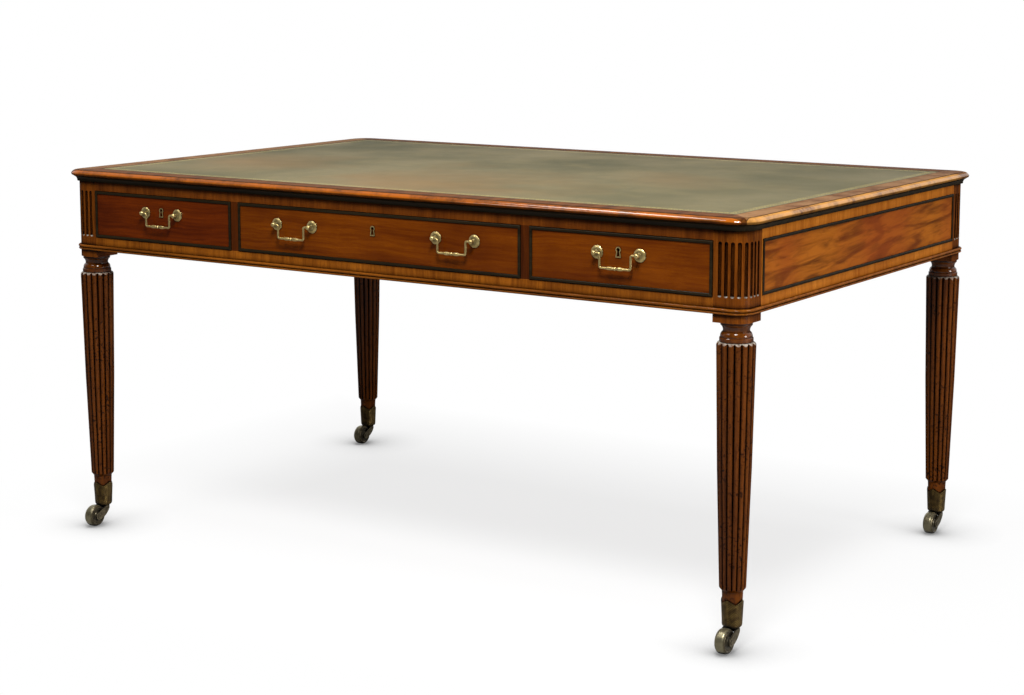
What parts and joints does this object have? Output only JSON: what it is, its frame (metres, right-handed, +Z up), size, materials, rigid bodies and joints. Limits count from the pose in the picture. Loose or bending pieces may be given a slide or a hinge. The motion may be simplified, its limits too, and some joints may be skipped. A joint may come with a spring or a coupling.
{
  "type": "library table",
  "caption": "Leather-topped library table with frieze drawers, swing handles, fluted corner posts, reeded tapering legs and brass castors.",
  "frame": {"origin": "on the floor under the middle of the top", "axes": "+Z up, +X along the length to the right of someone facing the drawers, drawers facing -Y"},
  "size_m": [1.603, 1.0255, 0.762],
  "materials": {
    "leather": "aged olive-green hide with a gilt tooled line",
    "mahogany": "french polished, worn at the edges",
    "flame_mahogany": "figured, french polished",
    "ebonised_wood": "ebonised, satin",
    "carcass_wood": "unpolished",
    "drawer_lining": "waxed oak",
    "brass": "polished, mellowed",
    "aged_brass": "dark aged patina",
    "lock_steel": "dull"
  },
  "bodies": {
    "root": {"leather_writing_surface": "leather", "top_core_panel": "carcass_wood", "top_border": "mahogany", "top_under_moulding": "ebonised_wood", "front_top_rail": "mahogany", "front_bottom_rail": "mahogany", "drawer_dividers": "mahogany", "back_rail": "mahogany", "left_end_rail": "mahogany", "right_end_rail": "mahogany", "end_panels": "flame_mahogany", "back_panels": "flame_mahogany", "end_panel_beads": "ebonised_wood", "back_panel_beads": "ebonised_wood", "frieze_bottom_moulding": "mahogany", "front_left_leg": "mahogany", "front_right_leg": "mahogany", "back_left_leg": "mahogany", "back_right_leg": "mahogany", "castor_sockets": "aged_brass", "drawer_runners": "carcass_wood", "drawer_kickers": "carcass_wood", "drawer_stops": "carcass_wood", "top_fixing_screws": "lock_steel"},
    "left_drawer": {"left_drawer_front": "mahogany", "left_drawer_box": "drawer_lining", "left_drawer_bottom": "drawer_lining", "left_drawer_bead": "ebonised_wood", "left_drawer_escutcheon": "brass", "left_drawer_lock_case": "brass", "left_drawer_handle_posts": "brass"},
    "left_drawer_lock_bolt": {"left_drawer_lock_bolt": "lock_steel"},
    "left_drawer_bail": {"left_drawer_bail": "brass"},
    "middle_drawer": {"middle_drawer_front": "mahogany", "middle_drawer_box": "drawer_lining", "middle_drawer_bottom": "drawer_lining", "middle_drawer_bead": "ebonised_wood", "middle_drawer_escutcheon": "brass", "middle_drawer_lock_case": "brass", "middle_drawer_handle_posts": "brass"},
    "middle_drawer_lock_bolt": {"middle_drawer_lock_bolt": "lock_steel"},
    "middle_drawer_left_bail": {"middle_drawer_left_bail": "brass"},
    "middle_drawer_right_bail": {"middle_drawer_right_bail": "brass"},
    "right_drawer": {"right_drawer_front": "mahogany", "right_drawer_box": "drawer_lining", "right_drawer_bottom": "drawer_lining", "right_drawer_bead": "ebonised_wood", "right_drawer_escutcheon": "brass", "right_drawer_lock_case": "brass", "right_drawer_handle_posts": "brass"},
    "right_drawer_lock_bolt": {"right_drawer_lock_bolt": "lock_steel"},
    "right_drawer_bail": {"right_drawer_bail": "brass"},
    "front_right_castor_fork": {"front_right_castor_fork": "aged_brass"},
    "front_right_castor_wheel": {"front_right_castor_wheel": "aged_brass"},
    "back_right_castor_fork": {"back_right_castor_fork": "aged_brass"},
    "back_right_castor_wheel": {"back_right_castor_wheel": "aged_brass"},
    "back_left_castor_fork": {"back_left_castor_fork": "aged_brass"},
    "back_left_castor_wheel": {"back_left_castor_wheel": "aged_brass"},
    "front_left_castor_fork": {"front_left_castor_fork": "aged_brass"},
    "front_left_castor_wheel": {"front_left_castor_wheel": "aged_brass"}
  },
  "joints": [
    {"name": "left_drawer_slide", "type": "slide", "parent": "root", "child": "left_drawer", "axis": [0, -1, 0], "range_m": [0, 0.3]},
    {"name": "left_drawer_lock_bolt_slide", "type": "slide", "parent": "left_drawer", "child": "left_drawer_lock_bolt", "axis": [0, 0, 1], "range_m": [0, 0.007]},
    {"name": "left_drawer_bail_swing", "type": "hinge", "parent": "left_drawer", "child": "left_drawer_bail", "pos_m": [-0.538, -0.507, 0.6835], "axis": [-1, 0, 0], "range_deg": [0, 100]},
    {"name": "middle_drawer_slide", "type": "slide", "parent": "root", "child": "middle_drawer", "axis": [0, -1, 0], "range_m": [0, 0.3]},
    {"name": "middle_drawer_lock_bolt_slide", "type": "slide", "parent": "middle_drawer", "child": "middle_drawer_lock_bolt", "axis": [0, 0, 1], "range_m": [0, 0.007]},
    {"name": "middle_drawer_left_bail_swing", "type": "hinge", "parent": "middle_drawer", "child": "middle_drawer_left_bail", "pos_m": [-0.19, -0.507, 0.6835], "axis": [-1, 0, 0], "range_deg": [0, 100]},
    {"name": "middle_drawer_right_bail_swing", "type": "hinge", "parent": "middle_drawer", "child": "middle_drawer_right_bail", "pos_m": [0.19, -0.507, 0.6835], "axis": [-1, 0, 0], "range_deg": [0, 100]},
    {"name": "right_drawer_slide", "type": "slide", "parent": "root", "child": "right_drawer", "axis": [0, -1, 0], "range_m": [0, 0.3]},
    {"name": "right_drawer_lock_bolt_slide", "type": "slide", "parent": "right_drawer", "child": "right_drawer_lock_bolt", "axis": [0, 0, 1], "range_m": [0, 0.007]},
    {"name": "right_drawer_bail_swing", "type": "hinge", "parent": "right_drawer", "child": "right_drawer_bail", "pos_m": [0.538, -0.507, 0.6835], "axis": [-1, 0, 0], "range_deg": [0, 100]},
    {"name": "front_right_castor_swivel", "type": "hinge", "parent": "root", "child": "front_right_castor_fork", "pos_m": [0.7545, -0.4645, 0.04], "axis": [0, 0, 1], "continuous": true},
    {"name": "front_right_castor_roll", "type": "hinge", "parent": "front_right_castor_fork", "child": "front_right_castor_wheel", "pos_m": [0.7545, -0.4915, 0.0225], "axis": [1, 0, 0], "continuous": true},
    {"name": "back_right_castor_swivel", "type": "hinge", "parent": "root", "child": "back_right_castor_fork", "pos_m": [0.7545, 0.4645, 0.04], "axis": [0, 0, 1], "continuous": true},
    {"name": "back_right_castor_roll", "type": "hinge", "parent": "back_right_castor_fork", "child": "back_right_castor_wheel", "pos_m": [0.7545, 0.4375, 0.0225], "axis": [1, 0, 0], "continuous": true},
    {"name": "back_left_castor_swivel", "type": "hinge", "parent": "root", "child": "back_left_castor_fork", "pos_m": [-0.7545, 0.4645, 0.04], "axis": [0, 0, 1], "continuous": true},
    {"name": "back_left_castor_roll", "type": "hinge", "parent": "back_left_castor_fork", "child": "back_left_castor_wheel", "pos_m": [-0.7545, 0.4375, 0.0225], "axis": [1, 0, 0], "continuous": true},
    {"name": "front_left_castor_swivel", "type": "hinge", "parent": "root", "child": "front_left_castor_fork", "pos_m": [-0.7545, -0.4645, 0.04], "axis": [0, 0, 1], "continuous": true},
    {"name": "front_left_castor_roll", "type": "hinge", "parent": "front_left_castor_fork", "child": "front_left_castor_wheel", "pos_m": [-0.7545, -0.4915, 0.0225], "axis": [1, 0, 0], "continuous": true}
  ]
}
